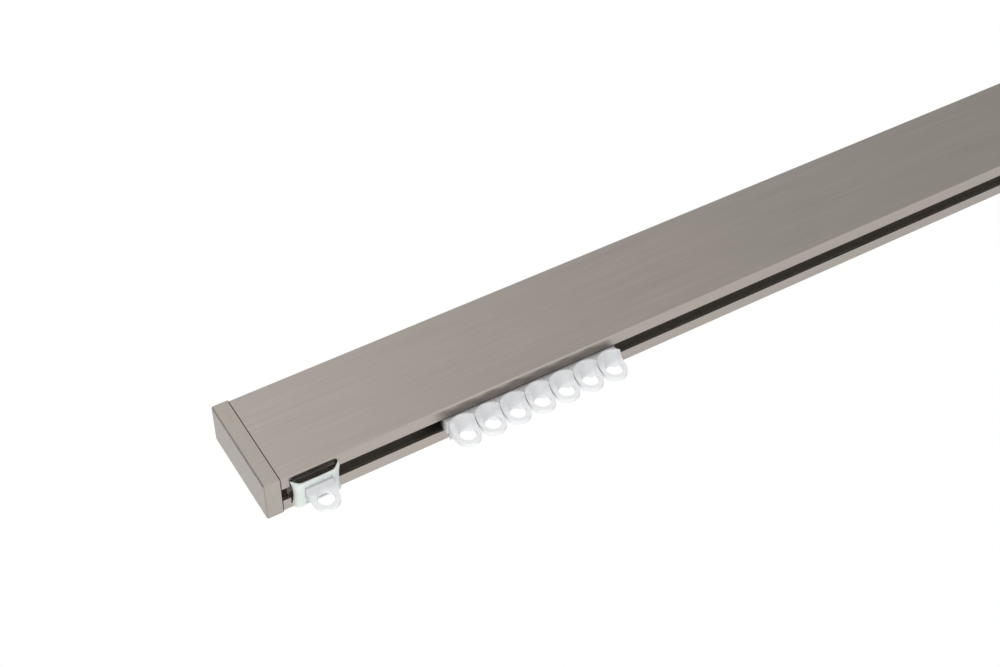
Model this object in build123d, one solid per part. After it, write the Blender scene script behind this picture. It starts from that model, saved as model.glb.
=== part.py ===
# Curtain track, 14 x 35 mm, with an inside channel, white gliders and an end stop in each end.
# Millimetres, +Z up, as it hangs: the slot faces down, the wide front face looks towards -Y and
# the track runs along X. The origin is the middle of the top groove's mouth.
import os

from build123d import *

os.makedirs("parts", exist_ok=True)

# Track profile
overall_length = 600.0
track_height = 35.0
track_depth = 14.0
wall = 1.3
slot_lip = 1.3
slot_width = 5.0
channel_height = 6.5
web = 1.2
groove_lip = 1.3
groove_height = 4.4
groove_mouth = 6.0
outer_edge_radius = 0.7
inner_edge_radius = 0.4
lip_edge_radius = 0.2

# Loading notch through the slot's lips, near each end
notch_setback = 2.7
notch_length = 15.4
notch_width = 12.4
notch_corner_radius = 1.6

# End caps
cap_thickness = 5.3
cap_overhang = 0.2
cap_bevel = 0.45
cap_joint_bevel = 0.15
plug_fit = 0.05
plug_length = 9.0
plug_wall = 1.6
plug_lead = 0.6
plug_corner_radius = 0.9
channel_plug_length = 2.4
channel_plug_height = 3.6

# Gate clips that close the notches
gate_bearing = 0.1
gate_seat = 0.3
gate_drop = 2.9
gate_plate = 0.65
gate_half_depth = 5.3
gate_lower_inset_x = 0.5
gate_lower_half_depth = 4.85
gate_side_curve = 0.6
gate_lower_curve = 0.2
gate_shoulder = 2.3
gate_tip = 0.1
gate_arch_radius = 2.0
gate_end_radius = 2.0
gate_edge_radius = 0.25
gate_fit = 0.1
gate_post_length = 0.8
gate_post_depth = 2.0
gate_post_inset = 0.8
gate_bar_reach = 0.5
gate_bar_depth = 9.8
gate_bar_height = 0.8
gate_groove_half_depth = 3.9
gate_groove_depth = 0.35

# End eyes, held in the gate clips
end_eye_length = 8.6
end_eye_half_depth = 2.1
end_eye_head_length = 9.8
end_eye_head_height = 1.1
end_eye_crown_drop = 2.9
end_eye_shoulder_drop = 3.3
end_eye_ring_drop = 7.5
end_eye_outer_radius = 4.1
end_eye_hole_radius = 2.5
end_eye_ring_thickness = 1.2
end_eye_throat = 0.4
end_eye_mouth_radius = 3.3
end_eye_mouth_top = 3.3

# Gliders
glider_count = 7
glider_length = 8.5
glider_pitch = 8.62
first_glider_from_end = 62.55
running_gap = 0.05
glider_neck_depth = 4.2
glider_head_length = 7.1
glider_head_depth = 9.8
glider_head_height = 2.1
glider_head_bevel = 0.7
glider_half_depth = 3.6
crown_drop = 1.35
shoulder_drop = 3.4
ring_drop = 7.1
ring_outer_radius = 4.0
ring_hole_radius = 2.6
ring_thickness = 1.6
ring_throat = 0.6
mouth_radius = 3.5
mouth_top = 1.9
waist_rise = 0.8
flare_bulge = 0.22

# Places that follow from the sizes
profile_length = overall_length - 2 * cap_thickness
slot_face = -track_height
lip_top = slot_face + slot_lip
channel_top = lip_top + channel_height
chamber_bottom = channel_top + web
groove_top = -groove_lip
groove_bottom = groove_top - groove_height
chamber_top = groove_bottom - web
inner_depth = track_depth - 2 * wall
notch_centre = profile_length / 2 - notch_setback - notch_length / 2
first_glider = -overall_length / 2 + first_glider_from_end


def slab(x_size, y_size, z_low, z_high):
    """A plain block centred on the Z axis between two heights."""
    middle = (z_low + z_high) / 2
    return Pos(0, 0, middle) * Box(x_size, y_size, z_high - z_low)


def cavity(width, low, high, radius):
    """A rounded opening of the track's section."""
    return Pos(0, (low + high) / 2) * RectangleRounded(width, high - low, radius)


def track_profile():
    outline = Pos(0, -track_height / 2) * Rectangle(track_depth, track_height)
    outline = fillet(outline.vertices(), outer_edge_radius)
    section = outline - cavity(inner_depth, lip_top, channel_top, inner_edge_radius)
    section -= cavity(inner_depth, chamber_bottom, chamber_top, inner_edge_radius)
    section -= cavity(inner_depth, groove_bottom, groove_top, inner_edge_radius)
    section -= Pos(0, slot_face) * Rectangle(slot_width, 2.5 * slot_lip)
    section -= Rectangle(groove_mouth, 2.5 * groove_lip)
    slot_corners = [
        v
        for v in section.vertices()
        if abs(abs(v.X) - slot_width / 2) < 0.01 and v.Y < lip_top + 0.01
    ]
    section = fillet(slot_corners, lip_edge_radius)
    bar = extrude(Plane.YZ * section, profile_length / 2, both=True)
    for side in (-1, 1):
        notch = RectangleRounded(notch_length, notch_width, notch_corner_radius)
        cutter = extrude(notch, 2 * slot_lip, both=True)
        bar -= Pos(side * notch_centre, 0, lip_top - 2 * slot_lip) * cutter
    return bar


def end_cap():
    """The left cap: its plate, a hollow plug for the chamber and a short one for the channel."""
    depth = track_depth + 2 * cap_overhang
    plate = slab(cap_thickness, depth, slot_face - cap_overhang, cap_overhang)
    plate = Pos(-cap_thickness / 2, 0, 0) * plate
    outer_face = plate.faces().sort_by(Axis.X)[0]
    plate = chamfer(outer_face.edges(), cap_bevel)
    joint_face = plate.faces().sort_by(Axis.X)[-1]
    plate = chamfer(joint_face.edges(), cap_joint_bevel)
    long_edges = plate.edges().filter_by(Axis.X)
    plate = chamfer(long_edges, cap_bevel / 2)

    plug_depth = inner_depth - 2 * plug_fit
    low = chamber_bottom + plug_fit
    high = chamber_top - plug_fit
    plug = Pos(plug_length / 2, 0, 0) * slab(plug_length, plug_depth, low, high)
    plug = fillet(plug.edges().filter_by(Axis.X), plug_corner_radius)
    tip = plug.faces().sort_by(Axis.X)[-1]
    plug = chamfer(tip.edges(), plug_lead)
    hollow = slab(plug_length, plug_depth - 2 * plug_wall, low + plug_wall, high - plug_wall)
    plug -= Pos(plug_length / 2 + plug_wall, 0, 0) * hollow

    top = channel_top - plug_fit
    key = slab(channel_plug_length, plug_depth, top - channel_plug_height, top)
    key = Pos(channel_plug_length / 2, 0, 0) * key
    key = fillet(key.edges().filter_by(Axis.X), plug_corner_radius)
    tip = key.faces().sort_by(Axis.X)[-1]
    key = chamfer(tip.edges(), plug_lead)
    return Pos(-profile_length / 2, 0, 0) * (plate + plug + key)


def pincushion(half_x, half_y, curve, z):
    """A rectangle with inward curved sides at one height, its corners left sharp."""
    corners = [(half_x, half_y), (-half_x, half_y), (-half_x, -half_y), (half_x, -half_y)]
    inward = [(0, half_y - curve), (curve - half_x, 0), (0, curve - half_y), (half_x - curve, 0)]
    sides = []
    for start in range(4):
        end = (start + 1) % 4
        sides.append(ThreePointArc(corners[start], inward[start], corners[end]))
    return Pos(0, 0, z) * make_face(sides)


def gate_clip():
    """A bowed plate on pointed corners, with a post and a crossbar inside each end."""
    half_length = notch_length / 2 + gate_bearing
    upper = pincushion(half_length, gate_half_depth, gate_side_curve, -gate_seat)
    lower_length = half_length - gate_lower_inset_x
    lower = pincushion(lower_length, gate_lower_half_depth, gate_lower_curve, -gate_drop)
    clip = loft([lower, upper])
    under = clip.faces().sort_by(Axis.Z)[0]
    ends = under.edges().sort_by(Axis.X)
    clip = fillet([ends[0], ends[-1]], gate_end_radius)
    under = clip.faces().sort_by(Axis.Z)[0]
    long_edges = under.edges().sort_by(Axis.Y)
    clip = fillet([long_edges[0], long_edges[-1]], gate_edge_radius)

    plate_top = gate_plate - gate_drop
    arch = Polygon(
        (gate_shoulder - half_length, plate_top),
        (half_length - gate_shoulder, plate_top),
        (half_length - gate_tip, -gate_seat),
        (gate_tip - half_length, -gate_seat),
        align=None,
    )
    arch = fillet(arch.vertices().group_by(Axis.Y)[0], gate_arch_radius)
    clip -= extrude(Plane.XZ * arch, gate_half_depth, both=True)

    bar_top = slot_lip + gate_bar_height
    post_out = half_length - gate_side_curve - gate_post_inset
    post_centre = post_out - gate_post_length / 2
    bar_in = notch_length / 2 - gate_fit
    bar_out = notch_length / 2 + gate_bar_reach
    arm_centre = (post_centre + bar_out) / 2
    post = slab(gate_post_length, gate_post_depth, plate_top, bar_top)
    arm = slab(bar_out - post_centre, gate_post_depth, slot_lip, bar_top)
    bar = slab(bar_out - bar_in, gate_bar_depth, slot_lip, bar_top)
    for side in (-1, 1):
        clip += Pos(side * post_centre, 0, 0) * post
        clip += Pos(side * arm_centre, 0, 0) * arm
        clip += Pos(side * (bar_in + bar_out) / 2, 0, 0) * bar

    window_length = end_eye_length + 2 * gate_fit
    clip -= slab(window_length, 2 * (end_eye_half_depth + gate_fit), -2 * gate_drop, 0)
    groove_top = gate_groove_depth - gate_drop
    clip -= slab(window_length, 2 * gate_groove_half_depth, -gate_drop, groove_top)
    return Pos(0, 0, slot_face) * clip


def eye(half, half_depth, crown, shoulder, drop, outer, hole, thick, throat, mouth, ceiling):
    """A short arched tube that hangs under its neck and thins to a ring at its lower end."""
    centre = -drop
    front = make_face(
        [
            ThreePointArc((-half, -shoulder), (0, -crown), (half, -shoulder)),
            Line((half, -shoulder), (outer, centre)),
            ThreePointArc((outer, centre), (0, centre - outer), (-outer, centre)),
            Line((-outer, centre), (-half, -shoulder)),
        ]
    )
    body = extrude(Plane.XZ * front, half_depth, both=True)

    waist = thick / 2
    waist_height = centre + waist_rise
    knee_depth = waist + flare_bulge * (half_depth - waist)
    knee_height = (waist_height - shoulder) / 2
    low = centre - outer
    profile = [Line((-waist, low), (waist, low)), Line((-half_depth, 0), (half_depth, 0))]
    for side in (-1, 1):
        flare = ThreePointArc(
            (side * waist, waist_height),
            (side * knee_depth, knee_height),
            (side * half_depth, -shoulder),
        )
        limb = Line((side * waist, low), (side * waist, waist_height))
        top = Line((side * half_depth, -shoulder), (side * half_depth, 0))
        profile += [flare, limb, top]
    body &= extrude(Plane.YZ * make_face(profile), half, both=True)

    body -= extrude(Plane.XZ * (Pos(0, centre) * Circle(hole)), half_depth, both=True)
    for side in (-1, 1):
        inner = Plane((0, side * throat / 2, centre), (1, 0, 0), (0, side, 0))
        lip = Plane((0, side * half_depth, -ceiling - mouth), (1, 0, 0), (0, side, 0))
        body -= loft([inner * Circle(hole), lip * Circle(mouth)])
    return body


def end_eye():
    """A head above the clip's plate, a neck in its window and an eye below."""
    plate_top = gate_plate - gate_drop
    head_top = plate_top + end_eye_head_height
    depth = 2 * end_eye_half_depth
    head = slab(end_eye_head_length, depth, plate_top, head_top)
    neck = slab(end_eye_length, depth, -end_eye_shoulder_drop, plate_top)
    tube = eye(
        end_eye_length / 2,
        end_eye_half_depth,
        end_eye_crown_drop,
        end_eye_shoulder_drop,
        end_eye_ring_drop,
        end_eye_outer_radius,
        end_eye_hole_radius,
        end_eye_ring_thickness,
        end_eye_throat,
        end_eye_mouth_radius,
        end_eye_mouth_top,
    )
    return Pos(0, 0, slot_face) * (head + neck + tube)


def glider():
    """A head that runs on the slot's lips, a neck through the slot and an arched eye."""
    head_low = slot_lip + running_gap
    head_high = head_low + glider_head_height
    head = slab(glider_head_length, glider_head_depth, head_low, head_high)
    top = head.faces().sort_by(Axis.Z)[-1]
    head = chamfer(top.edges().filter_by(Axis.X), glider_head_bevel)
    tube = eye(
        glider_length / 2,
        glider_half_depth,
        crown_drop,
        shoulder_drop,
        ring_drop,
        ring_outer_radius,
        ring_hole_radius,
        ring_thickness,
        ring_throat,
        mouth_radius,
        mouth_top,
    )
    neck = slab(glider_length, glider_neck_depth, -mouth_top, head_low)
    return Pos(0, 0, slot_face) * (head + neck + tube)


nodes = {"track_profile": track_profile()}
nodes["end_cap_left"] = end_cap()
nodes["end_cap_right"] = mirror(end_cap(), Plane.YZ)
for name, side in (("left", -1), ("right", 1)):
    place = Pos(side * notch_centre, 0, 0)
    nodes["gate_clip_" + name] = place * gate_clip()
    nodes["end_eye_" + name] = place * end_eye()
one_glider = glider()
for number in range(glider_count):
    place = Pos(first_glider + number * glider_pitch, 0, 0)
    nodes["glider_" + str(number + 1)] = place * one_glider

for name, shape in nodes.items():
    export_step(shape, "parts/" + name + ".step")
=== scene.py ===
import bpy
from mathutils import Matrix, Vector


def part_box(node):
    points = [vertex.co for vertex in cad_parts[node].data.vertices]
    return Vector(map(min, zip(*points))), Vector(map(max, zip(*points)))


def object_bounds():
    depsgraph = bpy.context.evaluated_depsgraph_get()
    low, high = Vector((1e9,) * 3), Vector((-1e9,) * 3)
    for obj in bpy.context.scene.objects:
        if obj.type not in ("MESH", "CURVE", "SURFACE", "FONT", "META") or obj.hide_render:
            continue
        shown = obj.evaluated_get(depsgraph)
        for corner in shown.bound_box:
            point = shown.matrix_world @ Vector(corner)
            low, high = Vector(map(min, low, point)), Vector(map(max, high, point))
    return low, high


# The curtain track, in metres: +X along the track, +Z up, the wide front face looking towards -Y.
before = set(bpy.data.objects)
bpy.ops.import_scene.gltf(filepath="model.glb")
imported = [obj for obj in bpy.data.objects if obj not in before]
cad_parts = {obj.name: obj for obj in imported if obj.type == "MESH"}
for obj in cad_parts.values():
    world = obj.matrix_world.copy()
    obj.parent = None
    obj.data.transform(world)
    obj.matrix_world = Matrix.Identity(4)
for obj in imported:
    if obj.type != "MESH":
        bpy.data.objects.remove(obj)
cad_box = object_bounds()
scene = bpy.context.scene
MM = 0.001

# Camera, as fitted to the photograph's straight edges
LENS_MM = 62.88
SENSOR_MM = 36.0
CAMERA_PLACE = Vector((-0.40671, -0.39058, -0.33241))
CAMERA_RIGHT = Vector((0.85709, -0.01262, -0.51501))
CAMERA_UP = Vector((0.36268, -0.69520, 0.62062))
CLIP_NEAR = 0.01
CLIP_FAR = 50.0

# Studio light: axis of the direction, the span along it and the level at each end of the span
STUDIO_FALLS = (
    ("X", (0.05, 0.8), (1.0, 0.44)),
    ("X", (0.1, 0.36), (1.36, 0.88)),
    ("X", (-0.75, -0.5), (0.2, 1.0)),
    ("Y", (0.0, 0.5), (1.0, 0.82)),
)

# Floor, and how its mirror image in the metal falls off along an axis, written as above
FLOOR_BELOW = 0.56
FLOOR_HALF = 3.0
FLOOR_GREY = 0.85
FLOOR_GLOW = 0.97
FLOOR_FALLS = (
    ("Y", (1.0, 2.2), (1.0, 0.45)),
    ("X", (-0.1, 0.6), (1.18, 0.96)),
)

# Lamps: name, place, width and watts, all aimed at the gliders
LAMP_TARGET = Vector((-0.2, 0.0, -0.04))
LAMPS = (
    ("key", Vector((-0.3, -0.9, -0.08)), 0.6, 1.5),
    ("fill", Vector((-0.55, 0.28, -0.48)), 0.4, 1.7),
)

# Depths from the track's faces, a hair outside the channel's own faces, so that these count as inside, where
# the channel's shade is painted
WALL_DEPTH = 1.26 * MM
LIP_DEPTH = 1.22 * MM
ROOF_DEPTH = 7.9 * MM

# Places that the materials follow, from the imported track
track_low, track_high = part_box("track_profile")
INSIDE_HALF_DEPTH = track_high.y - WALL_DEPTH
LIP_FACE = track_low.z
CHANNEL_LOW = LIP_FACE + LIP_DEPTH
CHANNEL_HIGH = LIP_FACE + ROOF_DEPTH
# Heights between which painted light makes the glider rings paler
RING_LIGHT_START = LIP_FACE - 4.2 * MM
RING_LIGHT_FULL = LIP_FACE - 5.7 * MM
JOINT = track_high.x
JOINT_HALF = 0.2 * MM
JOINT_DARK = (0.10, 0.085, 0.075, 1)

# Finish of both metals, and the span that a noise mostly lies in
METALLIC = 0.9
NOISE_SPAN = (0.3, 0.7)


def set_camera():
    data = bpy.data.cameras.new("camera")
    data.lens = LENS_MM
    data.sensor_width = SENSOR_MM
    data.clip_start = CLIP_NEAR
    data.clip_end = CLIP_FAR
    camera = bpy.data.objects.new("camera", data)
    scene.collection.objects.link(camera)
    back = CAMERA_RIGHT.cross(CAMERA_UP)
    turn = Matrix((CAMERA_RIGHT, CAMERA_UP, back)).transposed()
    camera.matrix_world = Matrix.Translation(CAMERA_PLACE) @ turn.to_4x4()
    scene.camera = camera


class Nodes:
    """A material's or world's node tree, with short calls to add and join its nodes."""

    def __init__(self, owner):
        owner.use_nodes = True
        self.tree = owner.node_tree
        self.tree.nodes.clear()

    def add(self, kind, values=None, **settings):
        node = self.tree.nodes.new(kind)
        for name, value in settings.items():
            setattr(node, name, value)
        for name, value in (values or {}).items():
            self.fill(node.inputs[name], value)
        return node

    def fill(self, socket, value):
        """Joins another node's output to the socket, or sets a plain value on it."""
        if isinstance(value, bpy.types.NodeSocket):
            self.tree.links.new(value, socket)
        else:
            socket.default_value = value

    def math(self, operation, first, second=0.0):
        return self.add("ShaderNodeMath", {0: first, 1: second}, operation=operation).outputs[0]

    def place(self):
        """The point in the piece's own frame, which its CAD node shares with the whole track at rest."""
        return self.add("ShaderNodeTexCoord").outputs["Object"]

    def split(self, place):
        return self.add("ShaderNodeSeparateXYZ", {0: place}).outputs

    def ramp(self, value, span, levels=(0.0, 1.0)):
        """Goes from one level to the other as the value crosses the span."""
        ends = {"From Min": span[0], "From Max": span[1], "To Min": levels[0], "To Max": levels[1]}
        return self.add("ShaderNodeMapRange", {"Value": value, **ends}).outputs["Result"]

    def falls(self, place, steps):
        """The product of ramps, each along one axis of the place or direction."""
        parts = self.split(place)
        level = 1.0
        for axis, span, levels in steps:
            level = self.math("MULTIPLY", level, self.ramp(parts[axis], span, levels))
        return level

    def mix(self, amount, first, second):
        node = self.add("ShaderNodeMix", {"Factor": amount}, data_type="RGBA")
        for name, colour in (("A", first), ("B", second)):
            socket = next(i for i in node.inputs if i.name == name and i.type == "RGBA")
            self.fill(socket, colour)
        return next(o for o in node.outputs if o.type == "RGBA")

    def noise(self, place, waves, detail, roughness=0.55):
        """Noise with so many waves a metre along X, Y and Z."""
        mapping = self.add("ShaderNodeMapping", {"Vector": place, "Scale": waves})
        values = {"Vector": mapping.outputs[0], "Scale": 1.0, "Detail": detail, "Roughness": roughness}
        return self.add("ShaderNodeTexNoise", values).outputs["Fac"]

    def blend(self, main, extra, share=0.7):
        """Two noises added, the first by its share and the second by the rest."""
        return self.math("ADD", self.math("MULTIPLY", main, share), self.math("MULTIPLY", extra, 1.0 - share))

    def bump(self, height, strength, distance):
        values = {"Height": height, "Strength": strength, "Distance": distance}
        return self.add("ShaderNodeBump", values).outputs["Normal"]

    def surface(self, values):
        shader = self.add("ShaderNodeBsdfPrincipled", values)
        self.add("ShaderNodeOutputMaterial", {"Surface": shader.outputs[0]})


def grey(level):
    return (level, level, level, 1.0)


def light_rays(nodes):
    """The kinds of ray, and 1 for rays that only show the background, 0 for rays that light the object."""
    path = nodes.add("ShaderNodeLightPath").outputs
    shown = nodes.math("MAXIMUM", path["Is Camera Ray"], path["Is Transmission Ray"])
    return path, shown


def set_world():
    """White to the camera, and a pale studio that dims to both sides and behind the object."""
    world = bpy.data.worlds.new("studio")
    scene.world = world
    nodes = Nodes(world)
    direction = nodes.add("ShaderNodeTexCoord").outputs["Generated"]
    level = nodes.falls(direction, STUDIO_FALLS)
    shown = light_rays(nodes)[1]
    lit = nodes.add("ShaderNodeBackground", {"Color": grey(1.0), "Strength": level}).outputs[0]
    white = nodes.add("ShaderNodeBackground", {"Color": grey(1.0), "Strength": 1.0}).outputs[0]
    mixed = nodes.add("ShaderNodeMixShader", {0: shown, 1: lit, 2: white}).outputs[0]
    nodes.add("ShaderNodeOutputWorld", {"Surface": mixed})


def floor_material():
    """White to the camera, matt to the rays that light the object, and a soft fall of white in the metal."""
    material = bpy.data.materials.new("floor")
    nodes = Nodes(material)
    path, shown = light_rays(nodes)
    glossy = path["Is Glossy Ray"]
    mirrored = nodes.falls(nodes.place(), FLOOR_FALLS)
    level = nodes.add("ShaderNodeMix", {"Factor": glossy, "A": 1.0, "B": mirrored}).outputs[0]
    matt = nodes.add("ShaderNodeBsdfDiffuse", {"Color": grey(FLOOR_GREY)}).outputs[0]
    white = nodes.add("ShaderNodeEmission", {"Color": grey(1.0), "Strength": level}).outputs[0]
    amount = nodes.math("MULTIPLY", nodes.math("MAXIMUM", shown, glossy), FLOOR_GLOW)
    mixed = nodes.add("ShaderNodeMixShader", {0: amount, 1: matt, 2: white}).outputs[0]
    nodes.add("ShaderNodeOutputMaterial", {"Surface": mixed})
    return material


def set_floor():
    """A pale floor well below the hanging track and below the camera."""
    low = cad_box[0].z - FLOOR_BELOW
    corners = [(x * FLOOR_HALF, y * FLOOR_HALF, low) for x, y in ((-1, -1), (1, -1), (1, 1), (-1, 1))]
    mesh = bpy.data.meshes.new("floor")
    mesh.from_pydata(corners, [], [(0, 1, 2, 3)])
    mesh.materials.append(floor_material())
    floor = bpy.data.objects.new("floor", mesh)
    scene.collection.objects.link(floor)


def add_lamp(name, place, width, watts):
    data = bpy.data.lights.new(name, "AREA")
    data.shape = "DISK"
    data.size = width
    data.energy = watts
    lamp = bpy.data.objects.new(name, data)
    scene.collection.objects.link(lamp)
    lamp.visible_camera = False
    lamp.visible_glossy = False
    turn = (LAMP_TARGET - place).to_track_quat("-Z", "Y").to_matrix().to_4x4()
    lamp.matrix_world = Matrix.Translation(place) @ turn


def joint_line(nodes, along, colour):
    """Darkens the thin strip where a cap meets the track."""
    distance = nodes.math("ABSOLUTE", nodes.math("SUBTRACT", nodes.math("ABSOLUTE", along), JOINT))
    return nodes.mix(nodes.math("LESS_THAN", distance, JOINT_HALF), colour, JOINT_DARK)


def channel_shade_mask(nodes, parts):
    """1 on the channel's inside faces, where shade is painted, 0 on the rest of the track."""
    side = nodes.math("LESS_THAN", nodes.math("ABSOLUTE", parts["Y"]), INSIDE_HALF_DEPTH)
    above = nodes.math("GREATER_THAN", parts["Z"], CHANNEL_LOW)
    below = nodes.math("LESS_THAN", parts["Z"], CHANNEL_HIGH)
    return nodes.math("MULTIPLY", side, nodes.math("MULTIPLY", above, below))


def brushed_metal():
    """Beige grey aluminium, brushed along X, with painted shade inside the channel."""
    pale = (0.456, 0.413, 0.376, 1)
    dark = (0.392, 0.351, 0.317, 1)
    # Painted shade: the darker colour of the channel's inside faces
    channel = (0.36, 0.34, 0.31, 1)
    material = bpy.data.materials.new("brushed_track")
    nodes = Nodes(material)
    place = nodes.place()
    parts = nodes.split(place)
    fine = nodes.noise(place, (16, 3000, 3000), detail=5.0)
    streak = nodes.noise(place, (40, 900, 900), detail=3.0)
    cloud = nodes.noise(place, (60, 160, 160), detail=3.0)
    lines = nodes.blend(fine, streak)
    colour = nodes.mix(nodes.ramp(lines, (0.34, 0.66)), dark, pale)
    colour = nodes.mix(nodes.ramp(cloud, NOISE_SPAN, (0.0, 0.22)), colour, dark)
    # Painted shade on the channel's inside faces
    colour = nodes.mix(channel_shade_mask(nodes, parts), colour, channel)
    colour = joint_line(nodes, parts["X"], colour)
    rough = nodes.ramp(lines, NOISE_SPAN, (0.30, 0.44))
    normal = nodes.bump(lines, strength=0.35, distance=0.04 * MM)
    nodes.surface({"Base Color": colour, "Metallic": METALLIC, "Roughness": rough, "Normal": normal})
    return material


def cap_metal():
    """The cap's smoother satin metal with a very fine grain."""
    pale = (0.446, 0.411, 0.371, 1)
    dark = (0.400, 0.366, 0.326, 1)
    darkest = (0.378, 0.344, 0.303, 1)
    material = bpy.data.materials.new("satin_cap")
    nodes = Nodes(material)
    place = nodes.place()
    grain = nodes.noise(place, (900, 900, 900), detail=3.0)
    cloud = nodes.noise(place, (60, 60, 60), detail=2.0)
    colour = nodes.mix(nodes.ramp(grain, NOISE_SPAN), dark, pale)
    colour = nodes.mix(nodes.ramp(cloud, NOISE_SPAN, (0.0, 0.2)), colour, darkest)
    colour = joint_line(nodes, nodes.split(place)["X"], colour)
    rough = nodes.ramp(grain, NOISE_SPAN, (0.36, 0.46))
    normal = nodes.bump(grain, strength=0.25, distance=0.03 * MM)
    nodes.surface({"Base Color": colour, "Metallic": METALLIC, "Roughness": rough, "Normal": normal})
    return material


def painted_light_and_shade_by_height(nodes, height, colour, shade_depth):
    """Painted light and shade by height: paler at the thin ring far below the track as painted light, painted
    shade up to the lips and dark painted shade between them.
    """
    # Colours for painted light on the ring, painted shade under the lips and darker painted shade between the
    # lips
    ring = (0.87, 0.88, 0.885, 1)
    shade = (0.16, 0.16, 0.15, 1)
    slot_shade = (0.09, 0.09, 0.085, 1)
    slot_shade_depth = 0.6 * MM
    # Painted light: paler towards the thin ring
    colour = nodes.mix(nodes.ramp(height, (RING_LIGHT_FULL, RING_LIGHT_START), (0.6, 0.0)), colour, ring)
    # Painted shade up to the lips
    colour = nodes.mix(nodes.ramp(height, (LIP_FACE - shade_depth, LIP_FACE), (0.0, 0.5)), colour, shade)
    # Painted shade: dark between the lips
    return nodes.mix(nodes.ramp(height, (LIP_FACE, LIP_FACE + slot_shade_depth)), colour, slot_shade)


def moulded_plastic(name, pale, dark, roughness, shade_depth):
    """Slightly translucent moulded plastic with faint flow marks and soft unevenness, and painted light and
    shade by height.
    """
    material = bpy.data.materials.new(name)
    nodes = Nodes(material)
    place = nodes.place()
    flow = nodes.noise(place, (160, 160, 420), detail=3.0)
    grain = nodes.noise(place, (2200, 2200, 2200), detail=2.0)
    colour = nodes.mix(nodes.ramp(flow, (0.35, 0.65)), dark, pale)
    # Painted light on the rings and painted shade near and between the lips, by height
    colour = painted_light_and_shade_by_height(nodes, nodes.split(place)["Z"], colour, shade_depth)
    nodes.surface(
        {
            "Base Color": colour,
            "Roughness": nodes.ramp(flow, NOISE_SPAN, roughness),
            "Normal": nodes.bump(nodes.blend(flow, grain), strength=0.2, distance=0.05 * MM),
            "Subsurface Weight": 0.25,
            "Subsurface Radius": (1.0, 0.95, 0.9),
            "Subsurface Scale": 1.2 * MM,
        }
    )
    return material


def clip_plastic():
    """The gate clips' greenish white plastic."""
    pale = (0.685, 0.735, 0.71, 1)
    dark = (0.64, 0.69, 0.665, 1)
    return moulded_plastic("clip_white", pale, dark, roughness=(0.38, 0.5), shade_depth=0.1 * MM)


def glider_plastic():
    """The glossier white plastic of the gliders and the end eyes."""
    pale = (0.715, 0.725, 0.735, 1)
    dark = (0.67, 0.68, 0.695, 1)
    return moulded_plastic("glider_white", pale, dark, roughness=(0.3, 0.42), shade_depth=1.5 * MM)


def dress():
    """Gives each CAD node its own finish, by how its name starts."""
    finishes = {
        "track_profile": brushed_metal(),
        "end_cap": cap_metal(),
        "gate_clip": clip_plastic(),
        ("glider", "end_eye"): glider_plastic(),
    }
    for name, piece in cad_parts.items():
        finish = next(material for start, material in finishes.items() if name.startswith(start))
        piece.data.materials.clear()
        piece.data.materials.append(finish)


set_camera()
set_world()
set_floor()
for lamp in LAMPS:
    add_lamp(*lamp)
dress()
scene.view_settings.view_transform = "Standard"
